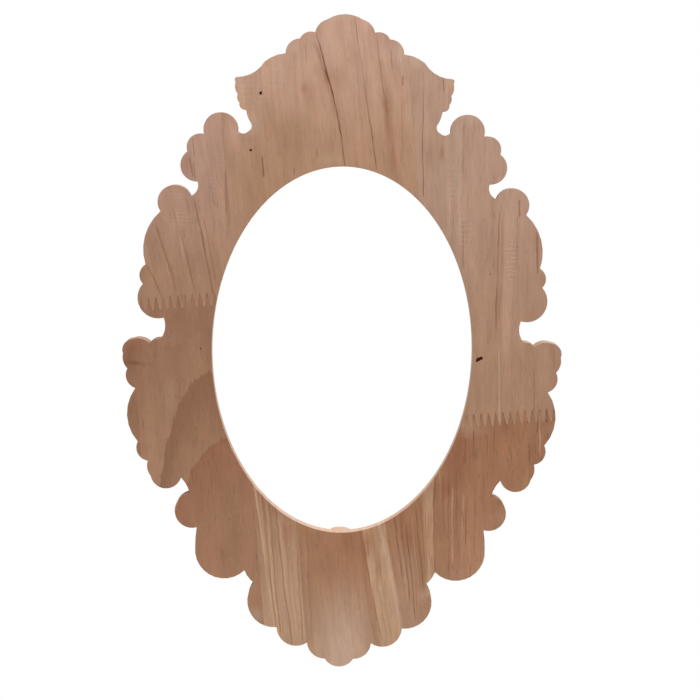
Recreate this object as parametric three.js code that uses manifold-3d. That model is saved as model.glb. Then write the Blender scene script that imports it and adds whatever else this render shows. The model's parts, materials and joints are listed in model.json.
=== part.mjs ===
// Scalloped oval photo frame, cut from an edge-glued board of leaning, finger-jointed staves.
// Millimetres, +Z up, front towards -Y, back face on y = 0.
// The shapes are drawn about the opening's centre, then lowered so that the origin is the
// hanging point: the hanger's middle notch, taken back to the wood's back face.
import * as THREE from 'three';
import { mergeVertices } from 'three/addons/utils/BufferGeometryUtils.js';
import Module from 'manifold-3d';

// Board, opening and the rebate that seats the picture from behind
const BOARD_THICKNESS = 15;
const OPENING_WIDTH = 178;
const OPENING_HEIGHT = 251;
const REBATE_WIDTH = 6;
const REBATE_DEPTH = 4;

// Stub of the holding tab that the router left at the foot of the opening
const TAB_WIDTH = 14;
const TAB_RISE = 2.2;
const TAB_ROOT = 4;

// Staves: lean of the panel's grain, and glue lines measured across it from the opening's centre
const STAVE_LEAN_DEG = 5;
const GLUE_GAP = 0.2;
const LEFT_GLUE_LINE = -68.5;
const NARROW_GLUE_LINE = -40;
const RIGHT_GLUE_LINE = 60;

// Finger joints: heights measured along the staves from the opening's centre. The fingers are
// shifted across so that the oval cuts none of them off at its root.
const LEFT_JOINT_HEIGHT = 42.5;
const RIGHT_JOINT_HEIGHT = -54.5;
const FINGER_LENGTH = 9;
const FINGER_PITCH = 5;
const FINGER_TIP = 0.8;
const FINGER_SHIFT = 1.5;

// Seats: space under a fixed plate or a screw head, and play round a shank
const SEAT_GAP = 0.2;
const PILOT_PLAY = 0.2;
const PILOT_SPARE_DEPTH = 0.5;

// Turn buttons on the back
const BUTTON_SETBACK = 8;
const BUTTON_REACH = 13;
const BUTTON_PIVOT_RADIUS = 6;
const BUTTON_NOSE_RADIUS = 4;
const BUTTON_SHEET = 1.2;
const BUTTON_THUMB_START = 6.5;
const BUTTON_THUMB_LIFT = 1.2;
const BUTTON_PLAY = 0.25;
const BUTTON_SCREW = { shank: 1.75, head: 3.6, headHeight: 2, length: 13, point: 3 };

// Sawtooth hanger on the back
const HANGER_HEIGHT_OVER_OPENING = 62;
const HANGER_LENGTH = 46;
const HANGER_WIDTH = 9;
const HANGER_SHEET = 1;
const HANGER_STANDOFF = 2.2;
const HANGER_FOOT = 9;
const HANGER_RAMP = 3;
const TOOTH_PITCH = 3;
const TOOTH_DEPTH = 1.6;
const TOOTH_COUNT = 7;
const HANGER_SCREW = { shank: 1.2, head: 2.5, headHeight: 1.3, length: 9, point: 2 };

// Facet sizes, in degrees for scallops and in counts for full rounds
const SCALLOP_STEP_DEG = 13;
const OVAL_SEGMENTS = 96;
const ROUND_SEGMENTS = 20;
const DOME_STEPS = 4;
const TEARDROP_SEGMENTS = 4;

// Right half of the outline, from the crown's top to the tip of the foot.
// Each scallop has its end [x, z] from the opening's centre and its rise over the chord,
// positive where it swells outwards and negative where it is hollow.
const CROWN_TOP = 227.6;
const SCALLOPS = {
  crown: { end: [12, 224], rise: 0.9 },
  crown_side: { end: [20.2, 215.4], rise: 1.7 },
  crown_shoulder: { end: [30.3, 211.1], rise: 2.1 },
  crown_step: { end: [40, 201.1], rise: 2.9 },
  ear_swell: { end: [54, 195.4], rise: 1.2 },
  ear_hollow: { end: [72.2, 185], rise: -2.7 },
  ear_tip: { end: [73.4, 181.8], rise: 1.2 },
  ear_upper_notch: { end: [72, 173.6], rise: 1.1 },
  ear_lower_notch: { end: [70.8, 167.7], rise: 0.9 },
  ear_end: { end: [66.3, 162.9], rise: 1.7 },
  ear_under: { end: [62.6, 153.5], rise: 0.6 },
  ear_neck: { end: [64.9, 148.5], rise: -1 },
  ear_slot: { end: [72.1, 148.5], rise: -1.5 },
  top_lobe: { end: [94.6, 146.5], rise: 13.8 },
  top_lobe_step: { end: [105.8, 134.7], rise: 5 },
  top_lobe_tail: { end: [98.8, 114.3], rise: 8.1 },
  upper_slot: { end: [103.9, 104.5], rise: -2.3 },
  upper_lobe: { end: [124, 94.1], rise: 12.8 },
  upper_side: { end: [134.1, 57.9], rise: 5.6 },
  upper_step: { end: [135.9, 44.7], rise: 3.2 },
  upper_tail: { end: [121.6, 21.6], rise: 10.2 },
  middle_slot: { end: [123.6, 7.2], rise: -1.9 },
  middle_bump: { end: [131.4, 4.2], rise: 1.1 },
  middle_cap: { end: [143.2, 6.6], rise: 1.8 },
  middle_lobe_top: { end: [149.4, -3], rise: 2.9 },
  middle_lobe: { end: [146.4, -13.3], rise: 1.4 },
  middle_step: { end: [141, -26.8], rise: 3.4 },
  lower_side: { end: [139.3, -63.6], rise: 6.5 },
  lower_step: { end: [132.5, -76.9], rise: 3.8 },
  lower_tail_side: { end: [130.4, -87.4], rise: 1.3 },
  lower_tail: { end: [109.6, -88.3], rise: 8.2 },
  lower_slot: { end: [103.5, -99.4], rise: -0.9 },
  lower_lobe: { end: [98.7, -122.9], rise: 12.8 },
  hip_side: { end: [99.7, -136.6], rise: 0.3 },
  hip_lobe: { end: [65.7, -152.6], rise: 13.2 },
  hip_slot: { end: [58.9, -161.5], rise: 0.8 },
  foot_lobe: { end: [43.3, -192.4], rise: 11.8 },
  foot_step: { end: [22.1, -203], rise: 7 },
  foot_swell: { end: [9.8, -214.1], rise: 3.3 },
  foot_tip: { end: [0, -219.6], rise: 1.5 },
};

const wasm = await Module();
wasm.setup();

// A closed three.js geometry as a solid that can be joined and cut.
function solidOf(geometry) {
  const bare = geometry.clone();
  bare.deleteAttribute('normal');
  bare.deleteAttribute('uv');
  const merged = mergeVertices(bare);
  return new wasm.Manifold(new wasm.Mesh({
    numProp: 3,
    vertProperties: merged.attributes.position.array,
    triVerts: new Uint32Array(merged.index.array),
  }));
}

function geometryOf(solid) {
  const mesh = solid.getMesh();
  const geometry = new THREE.BufferGeometry();
  geometry.setAttribute('position', new THREE.BufferAttribute(mesh.vertProperties, 3));
  geometry.setIndex(new THREE.BufferAttribute(mesh.triVerts, 1));
  geometry.computeVertexNormals();
  return geometry;
}

// A shape drawn in front view, x across and z up, extruded from y = front to y = back.
function slab(shape, front, back, curveSegments = ROUND_SEGMENTS) {
  const geometry = new THREE.ExtrudeGeometry(shape, {
    depth: back - front,
    bevelEnabled: false,
    curveSegments,
  });
  return geometry.rotateX(Math.PI / 2).translate(0, back, 0);
}

// A round bar along Y, standing at [x, z].
function bar(radius, front, back, x, z) {
  const geometry = new THREE.CylinderGeometry(radius, radius, back - front, ROUND_SEGMENTS);
  return geometry.translate(x, (front + back) / 2, z);
}

// Points of the arc from a to b whose middle stands `rise` to the left of the way from a to b.
function arcPoints(a, b, rise) {
  const chord = b.clone().sub(a);
  const sweep = 4 * Math.atan(Math.abs(rise) / (chord.length() / 2));
  const radius = chord.length() / 2 / Math.sin(sweep / 2);
  const left = new THREE.Vector2(-chord.y, chord.x).normalize();
  const middle = a.clone().add(b).multiplyScalar(0.5);
  const toCentre = rise - Math.sign(rise) * radius;
  const centre = middle.addScaledVector(left, toCentre);
  const clockwise = rise > 0;
  const from = a.clone().sub(centre).angle();
  const to = b.clone().sub(centre).angle();
  const steps = Math.max(2, Math.ceil(THREE.MathUtils.radToDeg(sweep) / SCALLOP_STEP_DEG));
  const arc = new THREE.EllipseCurve(centre.x, centre.y, radius, radius, from, to, clockwise);
  return arc.getPoints(steps);
}

// Scalloped outline: the right half arc by arc, then its mirror image back up the left side.
function outlineShape() {
  const right = [new THREE.Vector2(0, CROWN_TOP)];
  for (const { end, rise } of Object.values(SCALLOPS)) {
    const from = right[right.length - 1];
    right.push(...arcPoints(from, new THREE.Vector2(...end), rise).slice(1));
  }
  const left = right.slice(1, -1).reverse().map((p) => new THREE.Vector2(-p.x, p.y));
  return new THREE.Shape([...right, ...left]);
}

function ovalShape(width, height) {
  return new THREE.Shape().absellipse(0, 0, width / 2, height / 2, 0, 2 * Math.PI);
}

const rebateOval = {
  width: OPENING_WIDTH + 2 * REBATE_WIDTH,
  height: OPENING_HEIGHT + 2 * REBATE_WIDTH,
};

// Where each turn button pivots, outside the rebate. At rest each is a quarter turn clear of it.
const BUTTON_PLACES = {
  top: { pivot: [0, rebateOval.height / 2 + BUTTON_SETBACK], turn: 0 },
  right: { pivot: [rebateOval.width / 2 + BUTTON_SETBACK, 0], turn: Math.PI / 2 },
  bottom: { pivot: [0, -rebateOval.height / 2 - BUTTON_SETBACK], turn: Math.PI },
  left: { pivot: [-rebateOval.width / 2 - BUTTON_SETBACK, 0], turn: 3 * Math.PI / 2 },
};

const hangHeight = OPENING_HEIGHT / 2 + HANGER_HEIGHT_OVER_OPENING;
const hangerScrewOffset = (HANGER_LENGTH - HANGER_FOOT) / 2;
const hangerMiddle = hangHeight - TOOTH_DEPTH + HANGER_WIDTH / 2;
const HANGER_SCREW_PLACES = {
  left: [-hangerScrewOffset, hangerMiddle],
  right: [hangerScrewOffset, hangerMiddle],
};

// How deep a screw's point lies behind the back face, given what its head clamps.
function screwDepth(screw, clamped) {
  return screw.length - clamped - 2 * SEAT_GAP;
}

// Screw with a domed pan head, drawn round Y with the underside of its head on y = 0.
function screwGeometry({ shank, head, headHeight, length, point }) {
  const profile = [
    new THREE.Vector2(0, -length),
    new THREE.Vector2(shank, point - length),
    new THREE.Vector2(shank, 0),
    new THREE.Vector2(head, 0),
  ];
  const dome = new THREE.EllipseCurve(0, headHeight / 2, head, headHeight / 2, 0, Math.PI / 2);
  profile.push(...dome.getPoints(DOME_STEPS));
  profile[profile.length - 1].x = 0;
  return new THREE.LatheGeometry(profile, ROUND_SEGMENTS);
}

// Stub of the holding tab: a low rib with a half-oval top that rises from nothing at the front edge
// of the opening's foot to TAB_RISE at the rebate.
function tabSolid() {
  const half = TAB_WIDTH / 2;
  const oval = new THREE.EllipseCurve(0, 0, half, TAB_RISE, Math.PI, 0, true);
  const crown = oval.getPoints(ROUND_SEGMENTS / 2);
  const root = [new THREE.Vector2(half, -TAB_ROOT), new THREE.Vector2(-half, -TAB_ROOT)];
  const geometry = slab(new THREE.Shape([...crown, ...root]), -BOARD_THICKNESS, -REBATE_DEPTH);
  const slope = TAB_RISE / (BOARD_THICKNESS - REBATE_DEPTH);
  const drop = slope * REBATE_DEPTH - OPENING_HEIGHT / 2;
  geometry.applyMatrix4(new THREE.Matrix4().set(
    1, 0, 0, 0,
    0, 1, 0, 0,
    0, slope, 1, drop,
    0, 0, 0, 1,
  ));
  return solidOf(geometry);
}

// The whole board before it is taken as staves: outline, opening, rebate, tab and pilot holes.
function boardSolid() {
  let board = solidOf(slab(outlineShape(), -BOARD_THICKNESS, 0));
  const opening = ovalShape(OPENING_WIDTH, OPENING_HEIGHT);
  const rebate = ovalShape(rebateOval.width, rebateOval.height);
  board = board.subtract(solidOf(slab(opening, -2 * BOARD_THICKNESS, BOARD_THICKNESS, OVAL_SEGMENTS)));
  board = board.add(tabSolid());
  board = board.subtract(solidOf(slab(rebate, -REBATE_DEPTH, BOARD_THICKNESS, OVAL_SEGMENTS)));
  const buttonDepth = screwDepth(BUTTON_SCREW, BUTTON_SHEET) + PILOT_SPARE_DEPTH;
  for (const { pivot } of Object.values(BUTTON_PLACES)) {
    const pilot = bar(BUTTON_SCREW.shank + PILOT_PLAY, -buttonDepth, BOARD_THICKNESS, ...pivot);
    board = board.subtract(solidOf(pilot));
  }
  const hangerDepth = screwDepth(HANGER_SCREW, HANGER_SHEET) + PILOT_SPARE_DEPTH;
  for (const place of Object.values(HANGER_SCREW_PLACES)) {
    const pilot = bar(HANGER_SCREW.shank + PILOT_PLAY, -hangerDepth, BOARD_THICKNESS, ...place);
    board = board.subtract(solidOf(pilot));
  }
  return board;
}

// Farther from the centre than any point of the outline, along or across the leaning staves.
const farthest = Math.max(...Object.values(SCALLOPS).flatMap(({ end }) => end.map(Math.abs)), CROWN_TOP);
const beyond = 2 * farthest;

// Edge of a finger joint as [across, along] points. Fingers point along `way`, +1 up or -1 down,
// and the two sides of a joint are half a pitch apart, so that they interlock with GLUE_GAP.
function fingerEdge(from, to, height, way) {
  const tipHalf = (FINGER_TIP - GLUE_GAP) / 2;
  const rootHalf = (FINGER_PITCH - FINGER_TIP - GLUE_GAP) / 2;
  const root = height - way * FINGER_LENGTH / 2;
  const tip = height + way * (FINGER_LENGTH / 2 - GLUE_GAP);
  const phase = way > 0 ? FINGER_SHIFT : FINGER_SHIFT + FINGER_PITCH / 2;
  const edge = [[from, root]];
  const first = Math.ceil((from + FINGER_PITCH / 2 - phase) / FINGER_PITCH);
  const last = Math.floor((to - FINGER_PITCH / 2 - phase) / FINGER_PITCH);
  for (let i = first; i <= last; i += 1) {
    const middle = i * FINGER_PITCH + phase;
    edge.push([middle - rootHalf, root], [middle - tipHalf, tip]);
    edge.push([middle + tipHalf, tip], [middle + rootHalf, root]);
  }
  edge.push([to, root]);
  return edge;
}

// Strip of the leaning panel between two glue lines, ending square or in a finger joint.
function stripSolid({ from, to, foot, head }) {
  const lean = THREE.MathUtils.degToRad(STAVE_LEAN_DEG);
  const origin = new THREE.Vector2();
  const corners = [...foot(from, to), ...head(from, to).reverse()];
  const points = corners.map(([across, along]) => {
    return new THREE.Vector2(across, along).rotateAround(origin, lean);
  });
  return solidOf(slab(new THREE.Shape(points), -2 * BOARD_THICKNESS, BOARD_THICKNESS));
}

// A finger that the oval or the outline parts from its root is a loose chip: the stave is the rest.
function mainBody(solid) {
  return solid.decompose().reduce((main, body) => (body.volume() > main.volume() ? body : main));
}

const squareEnd = (height) => (from, to) => [[from, height], [to, height]];
const fingersUp = (height) => (from, to) => fingerEdge(from, to, height, 1);
const fingersDown = (height) => (from, to) => fingerEdge(from, to, height, -1);

const halfGap = GLUE_GAP / 2;
const top = squareEnd(beyond);
const bottom = squareEnd(-beyond);
const leftSpan = { from: -beyond, to: LEFT_GLUE_LINE - halfGap };
const narrowSpan = { from: LEFT_GLUE_LINE + halfGap, to: NARROW_GLUE_LINE - halfGap };
const centreSpan = { from: NARROW_GLUE_LINE + halfGap, to: RIGHT_GLUE_LINE - halfGap };
const rightSpan = { from: RIGHT_GLUE_LINE + halfGap, to: beyond };

// Each stave with its strip of the panel and its colour in the photograph.
const STAVES = {
  left_stave_upper: { ...leftSpan, foot: fingersDown(LEFT_JOINT_HEIGHT), head: top, colour: 0xa98468 },
  left_stave_lower: { ...leftSpan, foot: bottom, head: fingersUp(LEFT_JOINT_HEIGHT), colour: 0x966c52 },
  narrow_stave_top: { ...narrowSpan, foot: squareEnd(halfGap), head: top, colour: 0xb98f74 },
  narrow_stave_bottom: { ...narrowSpan, foot: bottom, head: squareEnd(-halfGap), colour: 0xac8462 },
  centre_stave_top: { ...centreSpan, foot: squareEnd(halfGap), head: top, colour: 0xc09a80 },
  centre_stave_bottom: { ...centreSpan, foot: bottom, head: squareEnd(-halfGap), colour: 0xa37a5c },
  right_stave_upper: { ...rightSpan, foot: fingersDown(RIGHT_JOINT_HEIGHT), head: top, colour: 0xad896f },
  right_stave_lower: { ...rightSpan, foot: bottom, head: fingersUp(RIGHT_JOINT_HEIGHT), colour: 0x9e7458 },
};

// Turn button: a teardrop of sheet metal with its nose along +X, bent up there for a thumb.
function buttonGeometry() {
  const noseCentre = BUTTON_REACH - BUTTON_NOSE_RADIUS;
  const tangent = Math.acos((BUTTON_PIVOT_RADIUS - BUTTON_NOSE_RADIUS) / noseCentre);
  const teardrop = new THREE.Shape();
  teardrop.absarc(0, 0, BUTTON_PIVOT_RADIUS, tangent, 2 * Math.PI - tangent);
  teardrop.absarc(noseCentre, 0, BUTTON_NOSE_RADIUS, -tangent, tangent);
  const tall = BUTTON_SHEET + BUTTON_THUMB_LIFT;
  const plan = solidOf(slab(teardrop, 0, tall, TEARDROP_SEGMENTS));
  const bent = new THREE.Shape([
    new THREE.Vector2(-BUTTON_REACH, 0),
    new THREE.Vector2(BUTTON_THUMB_START, 0),
    new THREE.Vector2(BUTTON_REACH, BUTTON_THUMB_LIFT),
    new THREE.Vector2(BUTTON_REACH, BUTTON_THUMB_LIFT + BUTTON_SHEET),
    new THREE.Vector2(BUTTON_THUMB_START, BUTTON_SHEET),
    new THREE.Vector2(-BUTTON_REACH, BUTTON_SHEET),
  ]);
  const width = 2 * BUTTON_REACH;
  const sheet = new THREE.ExtrudeGeometry(bent, { depth: width, bevelEnabled: false });
  sheet.translate(0, 0, -width / 2);
  const hole = bar(BUTTON_SCREW.shank + BUTTON_PLAY, -tall, 2 * tall, 0, 0);
  return geometryOf(plan.intersect(solidOf(sheet)).subtract(solidOf(hole)));
}

// Sawtooth hanger: a strip with two feet on the wood and a bar held off it, toothed underneath.
function hangerGeometry() {
  const foot = HANGER_LENGTH / 2 - HANGER_FOOT;
  const raised = foot - HANGER_RAMP;
  const underside = [
    [-HANGER_LENGTH / 2, 0], [-foot, 0], [-raised, HANGER_STANDOFF],
    [raised, HANGER_STANDOFF], [foot, 0], [HANGER_LENGTH / 2, 0],
  ];
  const outside = underside.map(([x, y]) => [x, y + HANGER_SHEET]).reverse();
  const strip = new THREE.Shape([...underside, ...outside].map(([x, y]) => new THREE.Vector2(x, y)));
  const bent = new THREE.ExtrudeGeometry(strip, { depth: HANGER_WIDTH, bevelEnabled: false });
  let hanger = solidOf(bent.translate(0, 0, hangHeight - TOOTH_DEPTH));
  const through = HANGER_STANDOFF + 2 * HANGER_SHEET;
  for (let i = 0; i < TOOTH_COUNT; i += 1) {
    const x = (i - (TOOTH_COUNT - 1) / 2) * TOOTH_PITCH;
    const below = hangHeight - 2 * TOOTH_DEPTH;
    const notch = new THREE.Shape([
      new THREE.Vector2(x - TOOTH_PITCH, below),
      new THREE.Vector2(x + TOOTH_PITCH, below),
      new THREE.Vector2(x, hangHeight),
    ]);
    hanger = hanger.subtract(solidOf(slab(notch, -through, through)));
  }
  for (const place of Object.values(HANGER_SCREW_PLACES)) {
    const hole = bar(HANGER_SCREW.shank + PILOT_PLAY, -through, through, ...place);
    hanger = hanger.subtract(solidOf(hole));
  }
  return geometryOf(hanger);
}

const steel = { color: 0xb9b4a6, roughness: 0.35, metalness: 1 };
const brass = { color: 0xb08d4a, roughness: 0.4, metalness: 1 };

function addMesh(parent, name, geometry, material) {
  const mesh = new THREE.Mesh(geometry, new THREE.MeshStandardMaterial(material));
  mesh.name = name;
  parent.add(mesh);
  return mesh;
}

const frame = new THREE.Group();
frame.position.z = -hangHeight;

const board = boardSolid();
for (const [name, { colour, ...strip }] of Object.entries(STAVES)) {
  const stave = geometryOf(mainBody(board.intersect(stripSolid(strip))));
  addMesh(frame, name, stave, { color: colour, roughness: 0.75, metalness: 0 });
}

for (const [place, { pivot, turn }] of Object.entries(BUTTON_PLACES)) {
  const seat = new THREE.Group();
  seat.position.set(pivot[0], SEAT_GAP, pivot[1]);
  seat.rotation.y = turn;
  frame.add(seat);
  addMesh(seat, `turn_button_${place}`, buttonGeometry(), brass);
  const screw = addMesh(seat, `button_screw_${place}`, screwGeometry(BUTTON_SCREW), brass);
  screw.position.y = BUTTON_SHEET + SEAT_GAP;
}

const hanger = addMesh(frame, 'sawtooth_hanger', hangerGeometry(), steel);
hanger.position.y = SEAT_GAP;
for (const [place, [x, z]] of Object.entries(HANGER_SCREW_PLACES)) {
  const screw = addMesh(frame, `hanger_screw_${place}`, screwGeometry(HANGER_SCREW), steel);
  screw.position.set(x, HANGER_SHEET + 2 * SEAT_GAP, z);
}

export default frame;
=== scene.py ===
"""Looks of a scalloped oval photo frame: sawn wood figure, glue lines, brass turn buttons and hanger.

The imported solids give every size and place. Lengths are metres in meshes. In the wood materials
they are millimetres from the middle of the oval opening, x to the right and z up.
"""
import json
import math
from collections import namedtuple

import bmesh
import bpy
import numpy as np
from mathutils import Matrix, Vector
from mathutils.bvhtree import BVHTree


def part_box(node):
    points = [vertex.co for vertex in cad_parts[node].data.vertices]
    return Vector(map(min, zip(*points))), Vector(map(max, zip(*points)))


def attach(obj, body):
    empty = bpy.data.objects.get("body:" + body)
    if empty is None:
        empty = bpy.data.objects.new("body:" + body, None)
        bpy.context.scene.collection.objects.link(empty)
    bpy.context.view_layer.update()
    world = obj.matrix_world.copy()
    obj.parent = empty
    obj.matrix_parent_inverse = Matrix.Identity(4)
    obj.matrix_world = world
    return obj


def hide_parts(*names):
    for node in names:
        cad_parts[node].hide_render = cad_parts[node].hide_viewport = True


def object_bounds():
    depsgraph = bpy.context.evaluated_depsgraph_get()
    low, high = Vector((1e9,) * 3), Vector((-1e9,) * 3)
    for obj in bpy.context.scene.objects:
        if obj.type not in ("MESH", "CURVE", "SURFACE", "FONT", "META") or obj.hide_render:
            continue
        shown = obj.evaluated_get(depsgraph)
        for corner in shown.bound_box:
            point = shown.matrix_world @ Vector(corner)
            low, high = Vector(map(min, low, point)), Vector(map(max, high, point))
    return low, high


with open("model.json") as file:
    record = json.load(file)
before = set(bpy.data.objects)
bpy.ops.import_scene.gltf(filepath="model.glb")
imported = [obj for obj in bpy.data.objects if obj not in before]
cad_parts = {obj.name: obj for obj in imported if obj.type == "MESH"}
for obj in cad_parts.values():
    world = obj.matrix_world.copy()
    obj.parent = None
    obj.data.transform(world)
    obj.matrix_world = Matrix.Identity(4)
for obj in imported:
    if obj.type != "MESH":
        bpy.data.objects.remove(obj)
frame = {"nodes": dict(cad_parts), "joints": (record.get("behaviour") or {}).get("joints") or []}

bl_info = {
    "name": "Scalloped photo frame",
    "version": (1, 0, 0),
    "blender": (4, 5, 0),
    "location": "View3D > Sidebar > Photo frame",
    "description": "Dresses the solids of a scalloped oval photo frame in wood, brass and zinc",
    "category": "Object",
}

CAD_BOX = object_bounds()
MM = 0.001
# How near points are made one, in metres, in a new mesh and in a packed one, and how flat a flat face is.
NEW_WELD, PACKED_WELD = 1e-7, 1e-6
FLAT_ANGLE, FLAT_DEPTH = math.radians(0.5), 1e-5

# The turn buttons' pivots lie evenly about the opening. Their noses point along these (x, z) ways.
BUTTON_PIVOTS = {j["child"].split("_")[1]: Vector(j["pos_m"]) for j in frame["joints"]}
BUTTON_NOSES = {"top": (1, 0), "right": (0, -1), "bottom": (-1, 0), "left": (0, 1)}
OPENING_CENTRE = sum(BUTTON_PIVOTS.values(), Vector()) / len(BUTTON_PIVOTS)
# One over the half width and half height of the oval that the opening's lip lies inside, per millimetre.
LIP_REACH = (1 / 91.0, 0.0, 1 / 127.5)

# Turn button in millimetres: hole, round end, nose, reach of the nose, and the bend that lifts it.
BUTTON_HOLE, BUTTON_ROUND, BUTTON_NOSE, BUTTON_REACH = 2.0, 6.0, 4.0, 13.0
BEND_START, BEND_LIFT = 6.5, 1.2
# Section of its sheet: each corner's share of the way from hole to rim, its inset and its height.
BUTTON_SECTION = np.array([
    (0, 0.00, 0.15), (0, 0.00, 0.90), (0, 0.10, 1.12), (0, 0.30, 1.20), (0.3, 0, 1.20), (0.55, 0, 1.20),
    (0.8, 0, 1.20), (1, -0.45, 1.20), (1, -0.20, 1.14), (1, -0.05, 1.00), (1, 0.00, 0.80),
    (1, 0.00, 0.20), (1, -0.06, 0.06), (1, -0.20, 0.00), (0.8, 0, 0.00), (0.55, 0, 0.00),
    (0.3, 0, 0.00), (0, 0.15, 0.00)])
BUTTON_FACETS = 144
# Screws in millimetres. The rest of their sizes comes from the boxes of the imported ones.
BUTTON_SCREW = dict(shank=1.75, head_height=2.0, point=3.0)
HANGER_SCREW = dict(shank=1.2, head_height=1.3, point=2.0)
HANGER_THREAD = 0.7
# A screw's thread pitch in shank radii, and its cross recess: reach and half width of its arms in head
# radii, and depth in head heights. Then the facets round it and the rows of its head and shank.
THREAD_PITCH = 0.75
RECESS_REACH, RECESS_HALF, RECESS_DEPTH = 0.48, 0.13, 0.55
SCREW_FACETS, HEAD_ROWS, SHANK_ROWS = 72, 40, 110

# Lean of the staves, and the finger joints that join two of them end to end, in millimetres.
STAVE_LEAN = math.radians(5)
FINGER_PITCH = 5.0
FINGER_LENGTH = 9.0
FINGER_TIP = 0.8
GLUE_GAP = 0.2
FINGER_SHIFT = 1.5
# Height of each finger joint, and a stretch across its stave that reaches past both ends of it.
FINGER_JOINTS = {"left": (42.5, -140.0, -76.0), "right": (-54.5, 72.0, 148.0)}
# Where the straight glue lines lie across the panel, and the depth of the rebate's seat.
GLUE_LINES = {"left": -68.5, "narrow": -40.0, "right": 60.0}
REBATE_SEAT = -4.0
# Steps in which a glue film looks for wood beside it, in millimetres, and its inset as a share of the gap.
FILM_STEP, FILM_INSET = 0.2, 0.02

# Softboxes: place in metres and watts.
SOFTBOXES = {
    "key_softbox": ((-0.45, -1.3, 1.5), 35.0),
    "fill_softbox": ((1.1, -1.5, 0.1), 6.0),
    "back_softbox": ((0.6, 1.5, 0.9), 28.0),
}
SOFTBOX_SIZE = 1.2
SURROUND_LIGHT = 0.352
FLOOR_FACETS, FLOOR_RINGS, FLOOR_RIM = 96, 12, 5 * MM

# Tints that the figure of the wood is drawn with, and the painted light on its sawn walls, as display
# colours.
TINTS = {
    "pith_line": (0.36, 0.19, 0.11),
    "late_wood": (0.49, 0.33, 0.24),
    "russet": (0.57, 0.38, 0.28),
    "blush": (0.79, 0.62, 0.55),
    "straw": (0.73, 0.59, 0.475),
    "cream": (0.74, 0.62, 0.54),
    "tan": (0.665, 0.520, 0.430),
    "olive": (0.59, 0.45, 0.34),
    "amber": (0.72, 0.50, 0.33),
    "knot": (0.19, 0.06, 0.02),
    # Painted light, not a colour of the wood: it lightens the sawn walls and most of all the opening's lip.
    "painted_wall_light": (0.90, 0.77, 0.68),
}

# Noises along the grain: cycles per millimetre across, through and along it, octaves and roughness.
# One that is a mask has the noise at which it starts and is full, and may have its two ends.
GRAIN = {
    "lines": ((0.20, 0.10, 0.008), 2.0, 0.5),
    "fibres": ((1.1, 1.1, 0.07), 3.0, 0.6),
    "mottle": ((0.09, 0.09, 0.035), 3.0, 0.5),
    "sway": ((0.03, 0.03, 0.03), 3.0, 0.6),
    "ragged": ((0.35, 0.35, 0.04), 2.0, 0.5),
    "warm": ((0.22, 0.22, 0.016), 3.0, 0.6, 0.45, 0.75),
    "dashes": ((1.5, 1.5, 0.12), 1.0, 0.5, 0.60, 0.78),
    "flecks": ((1.3, 1.3, 0.22), 1.0, 0.5, 0.62, 0.80),
    "patchy": ((0.5, 0.5, 0.06), 3.0, 0.6, 0.28, 0.62, 0.35, 1.0),
}
# How far apart in those noises the grain of each stave is from the next, in millimetres.
NEXT_GRAIN = Vector((53.0, 0.0, 17.0))
# How far the grain pushes lines and ring edges aside, and fibres ring edges up, in millimetres.
SWAY, RAGGED_EDGE, FIBRE_EDGE = 3.5, 5.0, 12.0
# How much fibres, mottle and flecks change the wood's tone.
FIBRE_TONE, MOTTLE_TONE, FLECK_TONE = 0.24, 0.38, 0.12
# How much painted light, a pale tint, lightens a sawn wall against the shade in its slots, and how much more
# it lightens the opening's lip, as if lit from above.
WALL_LIGHT_SHARE, LIP_LIGHT_SHARE = 0.20, 0.45
# Cycles per millimetre of the cutter's lines on a wall, and depth of them and of pores next to fibres.
CUTTER_LINES = (0.9, 0.02, 0.9)
CUTTER_DEPTH, PORE_DEPTH = 1.5, 0.6
# What is left of a growth ring's shade at the foot of its depth.
RING_FOOT = 0.35
# Radius of a mark through the board: no mark ends inside it.
THROUGH = 1e6

Mark = namedtuple("Mark", "kind inputs tint strength pitch", defaults=(None,))


def at(x, z):
    """Point of the board, in millimetres."""
    return Vector((x, 0, z))


def streak(start, end, half_width, tint, strength, bow=0.0, fade=0.15, core=0.2):
    """One line of the figure: a bowed stroke from start to end, (x, z) in millimetres."""
    way = at(*end) - at(*start)
    side = at(way.z, -way.x).normalized()
    inputs = (at(*start), way / way.length_squared, side, bow, half_width, core, fade)
    return Mark("streak", inputs, tint, strength)


def spot(centre, radii, tint, strength, core=0.0, pitch=None):
    """One knot, smudge or patch: an ellipse with a soft rim, in millimetres."""
    inputs = (at(*centre), (radii[0], THROUGH, radii[1]), core)
    return Mark("spot", inputs, tint, strength, pitch)


def chatter(centre, radii, pitch, tint, strength):
    """One patch of planer marks: short level lines at a pitch, inside an ellipse, in millimetres."""
    return spot(centre, radii, tint, strength, 0.5, pitch)


def arch(peak, spread, power, depth, tint, strength, edge=0.6):
    """One growth ring cut on a slope: everything under z = peak - |x| ** power / spread."""
    return Mark("arch", (at(*peak), spread, power, depth, edge), tint, strength)
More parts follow.
